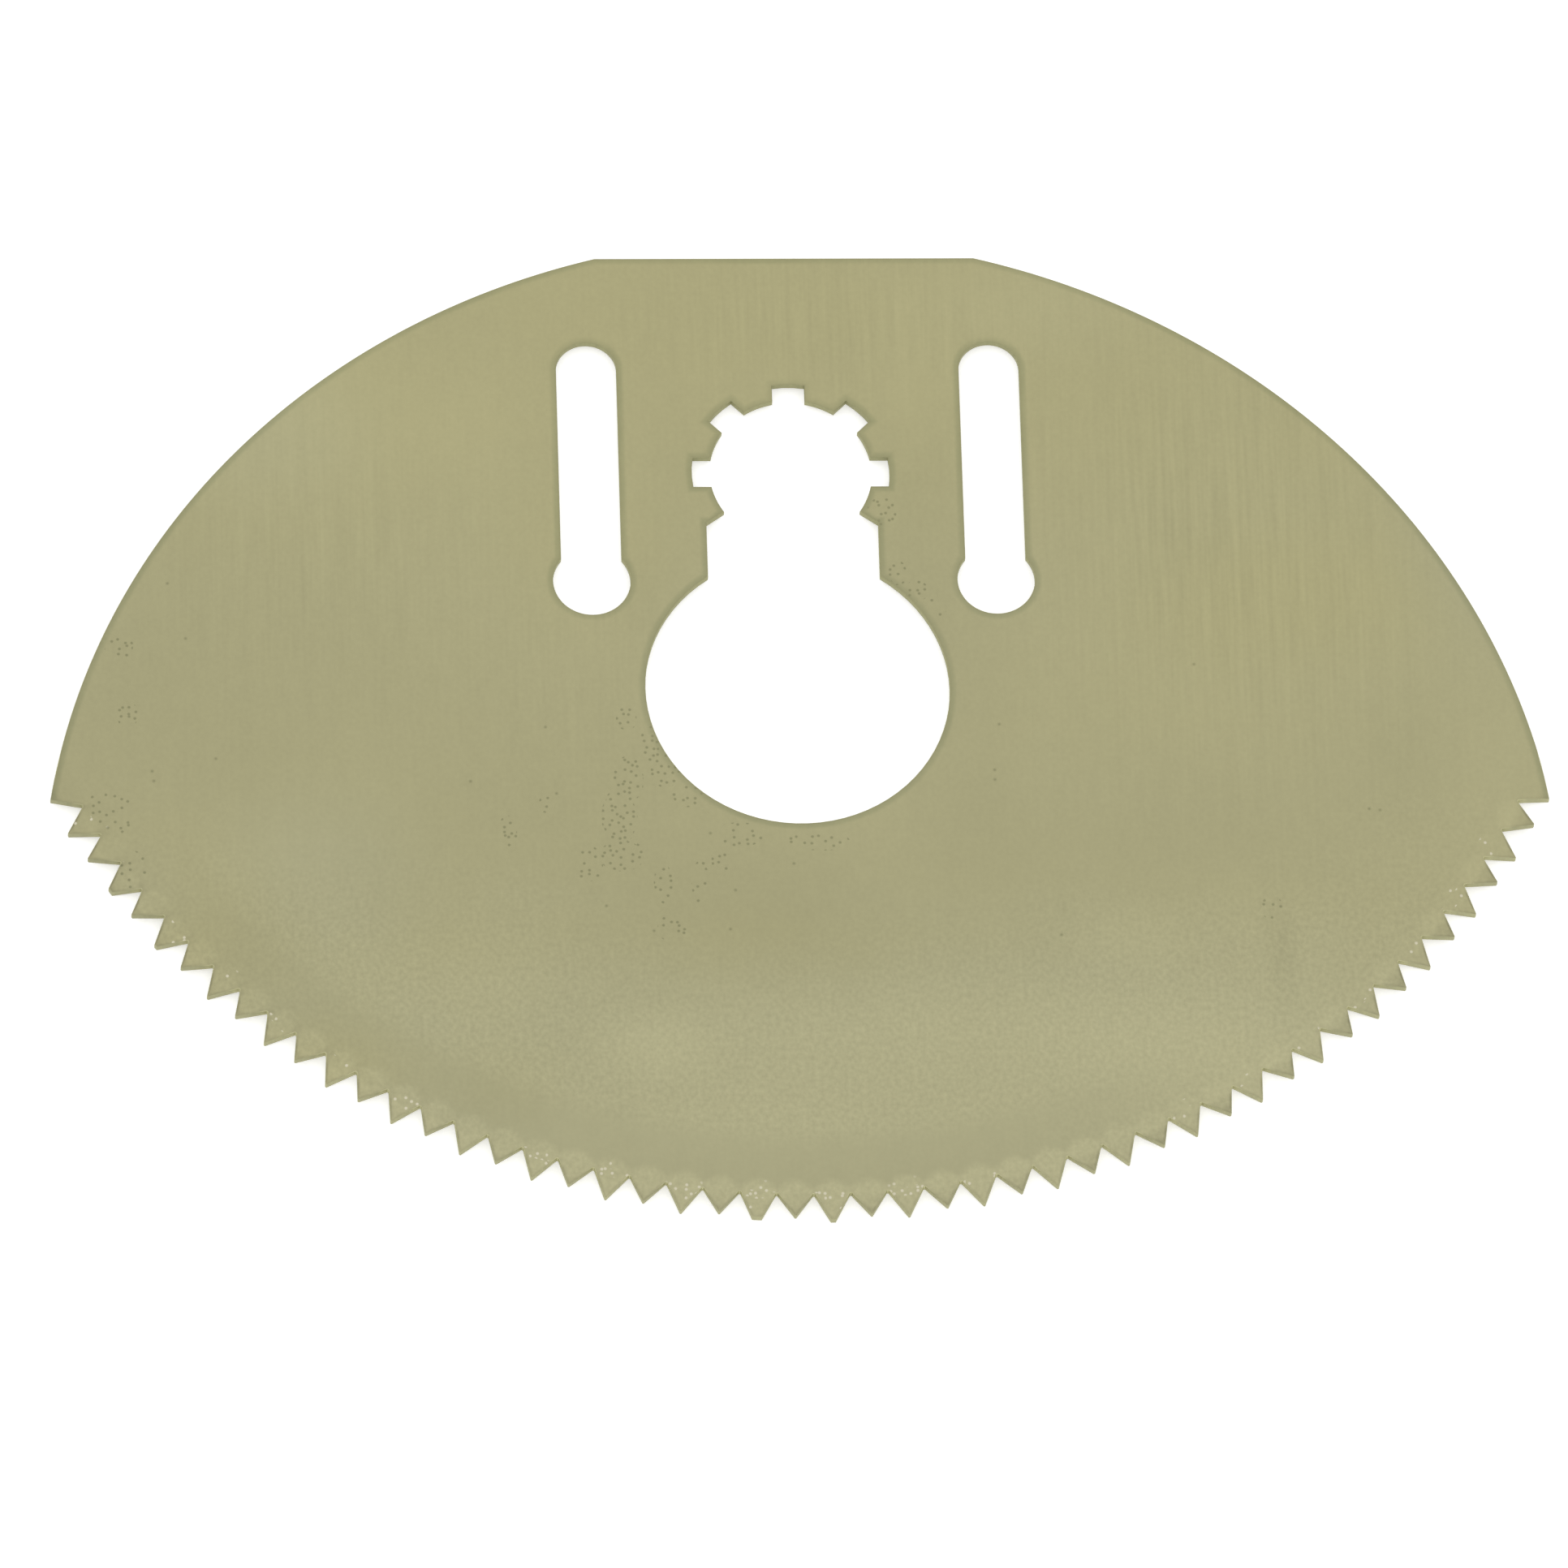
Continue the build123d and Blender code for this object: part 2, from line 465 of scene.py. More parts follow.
def bend_height(sizes, plan):
    """Height of the middle of the sheet at points in plan.

    A tooth starts to bend at a scalloped line just behind its gullets. From there its height
    is the set times the share of the way to the tip to the power 1.3, up on even teeth and
    down on odd ones. It fades to nothing at the gullets by one less the eighth power of
    twice the fraction of a pitch from the tooth's middle.
    """
    first, pitch = tooth_places(sizes)
    place = (np.arctan2(plan[..., 1], plan[..., 0]) - first) / pitch
    place = np.clip(place, 0, sizes.tooth_count - 1)
    tooth = np.round(place)
    off = np.abs(2 * (place - tooth))
    bend_start = sizes.gullet_radius - sizes.bend_reach * np.cos(off * math.pi / 2)
    tip_radius = sizes.gullet_radius + sizes.tooth_depth
    reach = (np.linalg.norm(plan, axis=-1) - bend_start) / (tip_radius - bend_start)
    lean = np.where(tooth % 2 == 0, sizes.tooth_set, -sizes.tooth_set)
    # Below the teeth only: the arc tangent's jump lies on the far side of the sheet
    lean = lean * (plan[..., 1] < 0)
    return lean * np.clip(reach, 0, None) ** 1.3 * (1 - off**8)


def bend_sheet(sizes, plan, height):
    """Points of the bent sheet, straight over their places in plan.

    Their height is the bend's height plus their own from the middle of the sheet, so that the
    tips stay on their circle, and their ends and flanks stand square to the sheet.
    """
    lifted = bend_height(sizes, plan) + height
    return np.concatenate([plan, lifted[..., None]], axis=-1)


def mesh_object(name, vertices, faces, materials):
    """A smooth-shaded mesh object at the origin."""
    mesh = bpy.data.meshes.new(name)
    mesh.from_pydata(vertices.tolist(), [], faces)
    mesh.polygons.foreach_set("use_smooth", np.ones(len(mesh.polygons), bool))
    for material in materials:
        mesh.materials.append(material)
    made = bpy.data.objects.new(name, mesh)
    bpy.context.scene.collection.objects.link(made)
    return made


def blade_sheet(sizes, materials):
    """The whole blade as one closed skin.

    The section of a cut edge is carried round each outline: every point of a row is the
    outline's point less its mitre times that row's inset. Both faces are triangles between
    the first and last rows, and the whole is then bent at the teeth.
    """
    loops = [blade_outline(sizes), keyhole_outline(sizes), slot_outline(sizes, -1), slot_outline(sizes, 1)]
    shapes = [corner_shapes(loop) for loop in loops]
    outline = np.concatenate(loops)
    mitre, half_turn, room = (np.concatenate(parts) for parts in zip(*shapes))
    columns = len(outline)
    loop_ends = np.cumsum([len(loop) for loop in loops])
    numbers = np.split(np.arange(columns), loop_ends[:-1])
    following = np.concatenate([np.roll(loop, -1) for loop in numbers])

    rim, arris, height, dark = edge_profile(sizes)
    rows = len(height)
    rim_width = np.minimum(sizes.rim_width, TIP_ROOM * room)
    arris_width = np.minimum(sizes.edge_round, rim_width / 2)
    inset = rim[:, None] * rim_width + arris[:, None] * arris_width
    plan = outline[None] - inset[..., None] * mitre[None]
    edge_points = bend_sheet(sizes, plan, np.broadcast_to(height[:, None], inset.shape))

    inner = fill_points(sizes, plan[0], plan[0][following])
    triangles = triangulate(plan[0], following, inner)
    half = np.full(len(inner), sizes.thickness / 2)
    upper, lower = (bend_sheet(sizes, inner, side * half) for side in (1, -1))
    vertices = np.concatenate([edge_points.reshape(-1, 3), upper, lower])

    row = np.repeat(np.arange(rows - 1), columns) * columns
    here, beyond = np.tile(np.arange(columns), rows - 1), np.tile(following, rows - 1)
    strips = np.stack([row + here, row + columns + here, row + columns + beyond, row + beyond], axis=-1)
    first_inner = rows * columns
    upper_face = np.where(triangles < columns, triangles, triangles - columns + first_inner)
    lower_face = np.where(
        triangles < columns,
        triangles + (rows - 1) * columns,
        triangles - columns + first_inner + len(inner),
    )[:, ::-1]
    piece = mesh_object(
        "blade_sheet", vertices, strips.tolist() + upper_face.tolist() + lower_face.tolist(), materials
    )
    mesh = piece.data

    # The rim strips and both faces are face steel, and what lies between is sheared edge
    strip_row = np.repeat(np.arange(rows - 1), columns)
    is_edge = (strip_row > 0) & (strip_row < rows - 2)
    index = np.zeros(len(mesh.polygons), np.int32)
    index[: len(is_edge)] = is_edge
    mesh.polygons.foreach_set("material_index", index)

    # Painted shade: the dark line inside each edge, on the rows of the edge
    edge_line_shade = np.zeros(len(vertices), np.float32)
    edge_line_shade[: rows * columns] = np.repeat(dark, columns)
    mesh.attributes.new("rim", "FLOAT", "POINT").data.foreach_set("value", edge_line_shade)

    # Creases where an arris meets its face, and down the edge at each corner in plan
    ends = np.zeros(2 * len(mesh.edges), np.int32)
    mesh.edges.foreach_get("vertices", ends)
    ends = ends.reshape(-1, 2)
    on_edge = (ends < first_inner).all(axis=1)
    end_row, end_column = ends // columns, ends % columns
    along_arris = (end_row[:, 0] == end_row[:, 1]) & np.isin(end_row[:, 0], (1, rows - 2))
    corner = np.abs(half_turn) > math.tan(CREASE_TURN / 2)
    down_corner = (end_column[:, 0] == end_column[:, 1]) & corner[end_column[:, 0]]
    crease = on_edge & (along_arris | down_corner)
    mesh.attributes.new("sharp_edge", "BOOLEAN", "EDGE").data.foreach_set("value", crease)
    if mesh.validate():
        raise RuntimeError("the sheet's mesh has faces that can't stand")
    mesh.update()
    return piece


# Materials


class Output:
    """A node's output, which is added, multiplied and so on like a number, through Math nodes."""

    def __init__(self, socket):
        self.socket = socket
        self.tree = socket.id_data

    def __add__(self, other):
        return combine("ADD", self, other)

    def __sub__(self, other):
        return combine("SUBTRACT", self, other)

    def __mul__(self, other):
        return combine("MULTIPLY", self, other)

    def __truediv__(self, other):
        return combine("DIVIDE", self, other)

    def __abs__(self):
        return combine("ABSOLUTE", self)

    def __rsub__(self, number):
        return combine("SUBTRACT", number, self)


def feed(node, inputs):
    """Give each of a node's inputs, by name or number, a value or another node's output."""
    for key, value in inputs.items():
        if isinstance(value, Output):
            value.tree.links.new(value.socket, node.inputs[key])
        else:
            node.inputs[key].default_value = value


def add_node(tree, kind, inputs=None, **settings):
    """One shader node with its inputs and settings."""
    made = tree.nodes.new("ShaderNode" + kind)
    for name, value in settings.items():
        setattr(made, name, value)
    feed(made, inputs or {})
    return made


def combine(operation, *values):
    """Output of a Math node over numbers and at least one output."""
    tree = next(value.tree for value in values if isinstance(value, Output))
    return Output(add_node(tree, "Math", dict(enumerate(values)), operation=operation).outputs[0])


def total(values, operation="ADD"):
    """The sum, or another running combination, of several outputs."""
    result = values[0]
    for value in values[1:]:
        result = combine(operation, result, value)
    return result


def new_material(name):
    """A new material, its tree and its shader."""
    material = bpy.data.materials.new(name)
    material.use_nodes = True
    return material, material.node_tree, material.node_tree.nodes["Principled BSDF"]


def bumped(height, strength):
    """Which way a surface faces, tilted by a height in hundredths of a mm."""
    inputs = {"Strength": strength, "Distance": 0.01 * MM, "Height": height}
    return Output(add_node(height.tree, "Bump", inputs).outputs["Normal"])


def vector(operation, *values):
    """Output of a Vector Math node; a length or distance gives its number."""
    made = add_node(values[0].tree, "VectorMath", dict(enumerate(values)), operation=operation)
    return Output(made.outputs["Value" if operation in ("LENGTH", "DISTANCE") else "Vector"])


def ramp(value, low, high, at_low=0.0, at_high=1.0):
    """A smooth step from at_low at the low value to at_high at the high one."""
    inputs = {"Value": value, "From Min": low, "From Max": high, "To Min": at_low, "To Max": at_high}
    return Output(add_node(value.tree, "MapRange", inputs, interpolation_type="SMOOTHSTEP").outputs["Result"])


def blend(factor, a, b):
    """From a, where the factor is nothing, to b, where it is one."""
    return Output(add_node(factor.tree, "Mix", {0: factor, 2: a, 3: b}, data_type="FLOAT").outputs[0])


def mix_colour(factor, a, b):
    """From colour a, where the factor is nothing, to colour b, where it is one."""
    a, b = (shade if isinstance(shade, Output) else (*shade, 1.0) for shade in (a, b))
    return Output(add_node(factor.tree, "Mix", {0: factor, 6: a, 7: b}, data_type="RGBA").outputs[2])


def toned(colour, tone):
    """A colour times a tone."""
    made = add_node(colour.tree, "VectorMath", {0: colour, "Scale": tone}, operation="SCALE")
    return Output(made.outputs["Vector"])


def noise(place, stretch, detail=2.0):
    """Noise between minus one and one over a place in mm, with one grain per stretch in mm."""
    stretched = vector("DIVIDE", place, (*stretch, 1.0))
    inputs = {"Vector": stretched, "Scale": 1.0, "Detail": detail}
    made = add_node(place.tree, "TexNoise", inputs, noise_dimensions="2D")
    return Output(made.outputs["Fac"]) * 2.0 - 1.0


def patch(place, centre, size, amount=1.0):
    """An amount at the centre of an oval patch, falling smoothly to nothing at its rim."""
    (x, y), (half_x, half_y) = centre, size
    off = vector("MULTIPLY_ADD", place, (1 / half_x, 1 / half_y, 0.0), (-x / half_x, -y / half_y, 0.0))
    return ramp(vector("LENGTH", off), 0.0, 1.0, amount, 0.0)


def patches(place, rows):
    """The sum of several patches, each of which is a centre, a half size and an amount."""
    return total([patch(place, *row) for row in rows])


def dots(place, spacing, chance):
    """One on small round dots, one per cell of the spacing at most and only in a share of cells."""
    inputs = {"Vector": place, "Scale": 1 / spacing, "Randomness": 0.8}
    cells = add_node(place.tree, "TexVoronoi", inputs, voronoi_dimensions="2D", feature="F1").outputs
    radius = DOT_RADIUS / spacing
    near = ramp(Output(cells["Distance"]), 0.6 * radius, 1.4 * radius, 1.0, 0.0)
    drawn = Output(add_node(place.tree, "SeparateColor", {"Color": Output(cells["Color"])}).outputs["Red"])
    return near * combine("LESS_THAN", drawn, chance)


# Where the steel is lighter or darker: centre and half size of each patch in mm, and how much
TONE_PATCHES = (
    ((-30.6, 4.3), (11, 9), 0.05),
    ((0, -32.5), (20, 9), -0.06),
    ((-46, -20), (16, 20), -0.07),
    ((-16, -26), (26, 18), -0.06),
    ((24, -27), (24, 12), -0.05),
    ((-38, -42), (16, 12), -0.04),
    ((9, -40.5), (26, 6), 0.06),
    ((-22, -37), (14, 5), 0.02),
    ((26, -42), (16, 8), 0.08),
    ((34, -35), (8, 6), 0.02),
    ((30.5, -35), (1.6, 6), -0.06),
    ((-32, -12), (20, 13), -0.05),
    ((0, -47), (30, 6), 0.05),
    ((8, -10), (9, 22), -0.05),
    ((16, 12), (12, 7), 0.03),
    ((-7, -3), (5, 10), -0.02),
    ((-35, -21), (8, 7), -0.04),
    ((-22, -46), (9, 5), -0.03),
    ((8, 6), (5, 7), 0.04),
    ((27, -33), (8, 7), 0.03),
    ((39, -21), (7, 8), -0.04),
    ((10, 13), (16, 4), 0.02),
    ((-10, -9), (4, 6), -0.04),
    ((-40, -4), (6, 6), -0.04),
    ((21, -34), (6, 4), 0.05),
    ((-10, -41.5), (6, 4), 0.08),
    ((13, -46), (7, 4), 0.02),
    ((-36, -33), (7, 5), -0.03),
    ((11, -26), (6, 7), -0.03),
    ((44, -24), (5, 10), 0.02),
    ((-20, 4), (6, 8), 0.04),
)

# Where the steel is rubbed greyer, or has stayed warmer
RUBBED_PATCHES = (
    ((-40, -37), (16, 14), -0.4),
    ((-31, -29), (10, 9), 0.6),
    ((-20, -44), (8, 6), -0.3),
    ((-34, 3), (10, 8), 0.5),
    ((32, -9), (18, 8), -0.5),
    ((17, 12), (10, 6), 0.2),
    ((-6, -34), (24, 4), -0.3),
    ((-6, 12), (16, 6), -0.3),
    ((44, -4), (7, 14), 0.7),
    ((-30, -43), (8, 6), -0.7),
    ((26, -16), (18, 9), -0.2),
    ((-13, -6), (9, 9), -0.3),
    ((17, -38), (18, 6), 0.2),
    ((-13, -35), (8, 5), 0.1),
    ((-43, -31), (6, 6), 0.4),
    ((28, 4), (6, 6), 0.1),
)

# Where the rolling streaks show most
STREAK_PATCHES = (
    ((4, 11), (24, 8), 0.7),
    ((27, 0), (20, 18), 0.7),
    ((29, -13), (20, 17), 0.6),
    ((-31, -5), (19, 17), 0.55),
    ((-14, -14), (9, 12), 0.4),
)

# Where small pits cluster: centre and half size in mm, and how densely they stand
PIT_PATCHES = (
    ((-11.1, -17.9), (0.9, 1.1), 0.8),
    ((-9.5, -19.7), (0.9, 2), 0.9),
    ((-8.7, -21.7), (1.2, 1.6), 0.9),
    ((-7.3, -23.4), (1.3, 1.2), 0.7),
    ((-11.1, -22.3), (1.3, 2.2), 0.8),
    ((-11.7, -25), (1.5, 2.6), 0.95),
    ((-11.6, -27.8), (1.9, 1.5), 0.9),
    ((-13.7, -28.4), (1.1, 1.7), 0.6),
    ((-18.9, -26.1), (0.8, 1.6), 0.7),
    ((-16.4, -24), (0.6, 0.9), 0.8),
    ((-4, -26.3), (2, 1.2), 0.6),
    ((1, -26.8), (2.8, 0.9), 0.6),
    ((-6.6, -30), (0.8, 2.4), 0.7),
    ((-9, -29.8), (0.8, 1.9), 0.7),
    ((-8.5, -33), (1.3, 1.3), 0.6),
    ((-5.3, -28.2), (0.8, 1.4), 0.5),
    ((5.8, -2.9), (1.3, 1.4), 0.8),
    ((6.7, -7.4), (0.8, 1.2), 0.8),
    ((7.9, -8.7), (1, 1), 0.7),
    ((9, -10.1), (1, 1.1), 0.7),
    ((-43.6, -12.6), (1.2, 1.4), 0.45),
    ((-43.1, -17.5), (0.9, 1.3), 0.95),
    ((-44.3, -24.4), (1.9, 2.6), 0.4),
    ((-42.9, -28.8), (1.4, 2), 0.35),
    ((30, -31.7), (0.9, 1.2), 0.8),
)

# Single pits in mm
LONE_PITS = (
    (-16.3, -18.5), (-21.2, -22.4), (-15.7, -23.3), (12.9, -18.4), (12.5, -21.7), (12.5, -22.4),
    (-0.6, -28.4), (-4.4, -30.3), (-4.8, -33.1), (-12.7, -31.4), (-9.7, -33.2), (-5.9, -26.2),
    (-39.3, -12), (-37.5, -20.7), (-41.6, -21.6), (-41.5, -22.3), (-40.4, -8), (25.6, -14.1),
    (36.5, -24.6), (37.2, -24.7), (16.4, -33.6),
)

# Where the painted shade inside the edges is faint, at the upper ends of the slots and of the star
FAINT_EDGE_SHADE = (
    ((-13.05, 10), (3.2, 3.2), 0.65),
    ((13.05, 10), (3.2, 3.2), 0.65),
    ((0, 6.2), (8, 3.6), 0.65),
)

# Sizes of pits and painted glints in mm: radius of a dot, cells that hold one each, lone pits
DOT_RADIUS = 0.095
PIT_SPACING = 0.46
GLINT_SPACING = 0.34
LONE_PIT_RADIUS = 0.18


def steel_places(tree, sizes):
    """Outputs for the place in mm, flattened onto the sheet, and for where it is on the teeth.

    A tooth's number counts from the first tip, and off_middle is the fraction of a pitch from
    the tooth's middle. Odd is one on the odd teeth, which lean down. The zone of the teeth is
    one on all but the two at the ends, and starts behind the gullets by a depth that is
    greatest at each tooth's middle.
    """
    coordinates = Output(add_node(tree, "TexCoord").outputs["Object"])
    place = vector("MULTIPLY", coordinates, (1 / MM, 1 / MM, 0.0))
    parts = add_node(tree, "SeparateXYZ", {0: place}).outputs
    x, y = Output(parts["X"]), Output(parts["Y"])
    radius = vector("LENGTH", place)
    gullet = sizes.gullet_radius / MM

    first, pitch = tooth_places(sizes)
    number = (combine("ARCTAN2", y, x) - first) / pitch
    off_middle = number - combine("ROUND", number)
    odd = ramp(combine("PINGPONG", number, 1.0), 0.45, 0.55)
    start = abs(combine("COSINE", number * math.pi)) * -0.6 + (gullet - 0.25)
    counted = combine("COMPARE", number, (sizes.tooth_count - 1) / 2, sizes.tooth_count / 2 - 1)
    teeth = ramp(radius - start, -0.45, 0.35) * counted
    return SimpleNamespace(
        place=place, x=x, y=y, radius=radius, gullet=gullet, off_middle=off_middle, odd=odd, teeth=teeth
    )


def far_from(x, y, height):
    """Distance of a place from the point at a height on the Y axis."""
    away = add_node(x.tree, "CombineXYZ", {0: x, 1: y - height}).outputs[0]
    return vector("LENGTH", Output(away))


def edge_gap(sizes, at):
    """How far into the steel a place lies from the crown, the flat top and the openings, in mm.

    It is the least of the distances from each: the radius of the crown less the distance from
    its centre, and for a round opening the other way about. A slot is taken from the nearest
    point of its middle line. The neck is a box. A notch is a box along its own direction, to
    which the angle round the star is folded. The two sides of the blade are alike.
    """
    x, y = abs(at.x), at.y
    reach, half_sweep = sizes.gullet_radius + sizes.tooth_depth, sizes.toothed_sweep / 2
    drop = sizes.crown_centre_drop
    crown_radius = math.hypot(reach * math.sin(half_sweep), drop - reach * math.cos(half_sweep))
    crown = crown_radius / MM - far_from(x, y, -drop / MM)
    flat_top = sizes.flat_top_height / MM - y
    hole = far_from(x, y, -sizes.hole_drop / MM) - sizes.hole_radius / MM

    across = x - sizes.slot_spacing / 2 / MM
    low_end = (sizes.slot_end_height - sizes.slot_travel) / MM
    nearest = combine("MAXIMUM", combine("MINIMUM", y, sizes.slot_end_height / MM), low_end)
    slot = far_from(across, y, nearest) - sizes.slot_width / 2 / MM
    bulb = far_from(across, y, low_end) - sizes.slot_bulb_radius / MM

    step = 2 * math.pi / sizes.star_notch_count
    notch_half = sizes.star_notch_width / 2
    corner = step + math.asin(notch_half / sizes.star_notch_radius)
    neck_top = -sizes.star_notch_radius * math.cos(corner)
    neck = [x - sizes.neck_width / 2 / MM, y - neck_top / MM, -sizes.hole_drop / MM - y]
    turn = combine("ARCTAN2", y, x) + math.pi / 2
    beside = at.radius * combine("SINE", combine("PINGPONG", turn, step / 2))
    notch = [at.radius - sizes.star_notch_radius / MM, beside - notch_half / MM]
    land = at.radius - sizes.star_land_radius / MM
    boxes = [total(neck, "MAXIMUM"), total(notch, "MAXIMUM")]
    return total([crown, flat_top, hole, slot, bulb, land, *boxes], "MINIMUM")


def rubbed_share(at, wavy, mid_arc):
    """How far the face is rubbed grey: most near the teeth, fading to the warm steel over them."""
    rubbed = ramp(at.y, 6.0, -10.0) * 0.4 + ramp(wavy, -28.0, -42.0) * 0.6 + 0.07
    rubbed = rubbed + patches(at.place, RUBBED_PATCHES) + at.teeth * mid_arc * 0.2
    return combine("MINIMUM", combine("MAXIMUM", rubbed, 0.0), 1.0)


def dark_arc(at):
    """A smooth, darker arc between the rubbed band and the teeth, which ends on the +X side."""
    dark = ramp(at.radius, at.gullet - 5.2, at.gullet - 2.8) * (1.0 - at.teeth)
    return dark * ramp(at.x, 10.0, 28.0, 1.0, 0.0) * ramp(at.y, -24.0, -36.0)


def rolling_streaks(at, streaks):
    """Fine streaks and broader bands down the blade, stronger in some places."""
    bands = noise(at.place, (1.0, 14.0)) * 0.5
    return (streaks + bands) * (patches(at.place, STREAK_PATCHES) + 0.25)


def rubbed_mottle(at, wavy, dark):
    """Fine mottle of the rubbed steel, which reaches further up the blade at both ends and is
    fainter on the dark arc."""
    higher = combine("MAXIMUM", abs(at.x), 6.0) * -0.22
    worn = ramp(wavy + higher, -32.5, -42.0, 0.3, 1.0)
    smoother = dark * ramp(at.x, -34.0, -14.0, 0.4, 0.8)
    return noise(at.place, (0.3, 0.34)) * (worn - smoother)


def small_pits(at):
    """One on the pits, in their clusters and alone."""
    density = [ramp(patch(at.place, *oval), 0.1, 0.2, 0.0, amount) for *oval, amount in PIT_PATCHES]
    crowd = dots(at.place, PIT_SPACING, total(density, "MAXIMUM"))
    distances = [vector("DISTANCE", at.place, (*centre, 0.0)) for centre in LONE_PITS]
    lone = ramp(total(distances, "MINIMUM"), 0.0, LONE_PIT_RADIUS, 1.0, 0.0)
    return combine("MAXIMUM", crowd, lone)


def painted_edge_shade(sizes, at):
    """One on the soft dark band of painted shade inside the crown, the flat top and the openings."""
    near = ramp(edge_gap(sizes, at), 0.2, 0.53, 1.0, 0.0)
    uneven = ramp(noise(at.place, (6.0, 6.0)), -0.5, 0.5, 0.75, 1.15)
    return near * uneven * (1.0 - patches(at.place, FAINT_EDGE_SHADE))


def tooth_tone_and_painted_light(at, mid_arc, finish):
    """How much lighter the set teeth are, with painted light and shade from their lean, less the painted
    shade of their tips.

    Along their bends the even teeth, which lean up, carry painted highlights at both ends of the arc
    and the odd ones at its middle. Past the bends the even ones are lighter at the -X end and carry
    painted shade at their tips, and the odd ones are darker at the -X end, where painted shade darkens the
    gullets too.
    """
    # Painted highlights along the bends of the set teeth
    bend = ramp(at.radius, at.gullet + 0.1, at.gullet + 0.8, 1.0, 0.0)
    even_bend_painted_light = ramp(at.x, -38.0, 34.0, -0.01, 0.05) + ramp(at.x, -34.0, -27.0, 0.04, 0.0)
    even = blend(bend, ramp(at.x, -38.0, 34.0, 0.065, -0.065), even_bend_painted_light)
    odd_bend_painted_light = ramp(at.x, -16.0, -6.0, -0.02, 0.03)
    odd = blend(bend, ramp(at.x, -39.0, -35.0, -0.04, 0.025), odd_bend_painted_light)
    lift = mid_arc * finish.tooth_lift + blend(at.odd, even, odd)
    # Painted shade in the gullets towards the -X end
    gullets = ramp(abs(at.off_middle), 0.25, 0.45) * ramp(at.x, -16.0, -34.0, 0.0, 0.07)

    # Painted shade at the tips, on the even teeth and on the odd ones towards the ends of the arc
    tips = ramp(at.radius, at.gullet + 0.9, at.gullet + 1.7)
    odd_tip_shade = ramp(abs(at.x - 4.0), 8.0, 34.0, 0.0, 0.7)
    return at.teeth * (lift - gullets) - tips * blend(at.odd, 1.0, odd_tip_shade) * 0.15


def painted_rim_line(tree, at):
    """The dark line of painted shade inside an edge.

    It is weak on the teeth's flanks, but not on those that face away from the middle of the
    arc, and it fades out towards the gullets.
    """
    rim = Output(add_node(tree, "Attribute", attribute_name="rim").outputs["Fac"])
    on_flank = ramp(at.off_middle * at.x, 0.5, 7.0, 0.4, 1.2)
    on_flank = on_flank * ramp(at.radius, at.gullet + 0.1, at.gullet + 0.9, 0.2, 1.0)
    return rim * blend(at.teeth, 0.25, on_flank)


def painted_glints(at):
    """One on the painted glints: small pale dots of painted highlight.

    They crowd along the bends of the odd teeth near the middle of the arc, thin out towards
    the tips, and are few towards the ends of the arc.
    """
    off_bend = abs(at.radius - (at.gullet + 0.1))
    chance = ramp(off_bend, 0.15, 0.4, 0.75, 0.12) * ramp(off_bend, 0.8, 1.1, 1.0, 0.0)
    crowded = ramp(abs(at.x + 4.0), 12.5, 16.0, 0.95, 0.0)
    few = ramp(abs(at.x), 20.0, 25.0, 0.0, 0.25)
    chance = chance * combine("MAXIMUM", crowded, few)
    return dots(at.place, GLINT_SPACING, chance) * at.odd * at.teeth


def face_steel(sizes, finish):
    """Rolled sheet steel: rolling streaks down the blade, a rubbed mottle above the teeth,
    soft uneven patches, small pits, painted shade inside the edges, lighter set teeth with
    painted light and shade, and painted glints on their bends."""
    material, tree, shader = new_material("blade_face_steel")
    at = steel_places(tree, sizes)
    mid_arc = ramp(abs(at.x + 6.0), 18.0, 32.0, 1.0, 0.0)
    # The height of the bands across the blade, which wander a little
    wavy = noise(at.place, (14.0, 9.0)) * 4.0 + at.y
    rubbed = rubbed_share(at, wavy, mid_arc)
    dark = dark_arc(at)
    streaks = noise(at.place, (0.3, 7.0), 3.0)
    pits = small_pits(at)

    tone = [
        rolling_streaks(at, streaks) * finish.streak_strength + 1.0,
        rubbed_mottle(at, wavy, dark) * finish.mottle_strength,
        noise(at.place, (9.0, 13.0), 3.0) * finish.cloud_strength,
        noise(at.place, (1.0, 1.3)) * finish.grain_strength,
        patches(at.place, TONE_PATCHES),
        # Lighter teeth, with painted highlights on their bends and painted shade at their tips and gullets
        tooth_tone_and_painted_light(at, mid_arc, finish),
        dark * -finish.arc_strength,
        pits * -finish.pit_strength,
        # Painted shade: the dark line inside every edge
        painted_rim_line(tree, at) * -finish.rim_strength,
    ]
    steel = toned(mix_colour(rubbed, finish.warm_steel, finish.grey_steel), total(tone))
    # Painted shade on the soft band inside the edges, and the darker colour of the pits
    shaded = combine("MAXIMUM", pits, painted_edge_shade(sizes, at))
    steel = vector("MULTIPLY", steel, mix_colour(shaded, (1.0, 1.0, 1.0), finish.rim_shade_and_pit_colour))
    # Painted highlight: pale glint dots along the bends of the odd teeth
    steel = mix_colour(painted_glints(at) * 0.8, steel, finish.glint_steel)
    roughness = streaks * 0.03 + rubbed * 0.05 + pits * 0.2 + finish.face_roughness
    normal = bumped(streaks * 0.3 - pits, 0.25)
    feed(shader, {"Metallic": 1.0, "Base Color": steel, "Roughness": roughness, "Normal": normal})
    return material


